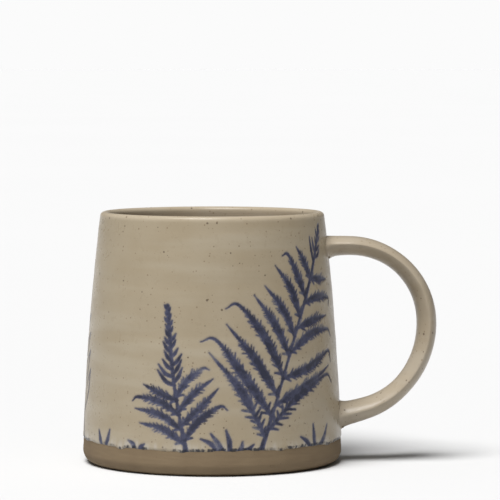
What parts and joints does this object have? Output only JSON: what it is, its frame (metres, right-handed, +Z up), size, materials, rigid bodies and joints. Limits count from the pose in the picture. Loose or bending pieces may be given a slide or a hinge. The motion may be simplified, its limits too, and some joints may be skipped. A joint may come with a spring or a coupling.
{
  "type": "mug",
  "caption": "Wide-based stoneware mug with a round pulled handle, a cream satin glaze over a bare clay foot band, and fern fronds pressed into the wall.",
  "frame": {"origin": "centre of the foot, on the plane that the mug stands on", "axes": "+Z up along the cup's axis, +X from the cup towards its handle, and so +Y to the left of someone who looks from the cup to the handle"},
  "size_m": [0.1337, 0.0982, 0.0944],
  "materials": {
    "bare_stoneware": "matt, unglazed",
    "slip": "matt, fired under the glaze",
    "cream_glaze": "satin"
  },
  "bodies": {
    "root": {"cup_body": "bare_stoneware", "handle": "bare_stoneware", "upper_slip_joint": "slip", "lower_slip_joint": "slip", "liner_glaze": "cream_glaze", "outer_glaze": "cream_glaze", "handle_glaze": "cream_glaze"}
  },
  "joints": []
}
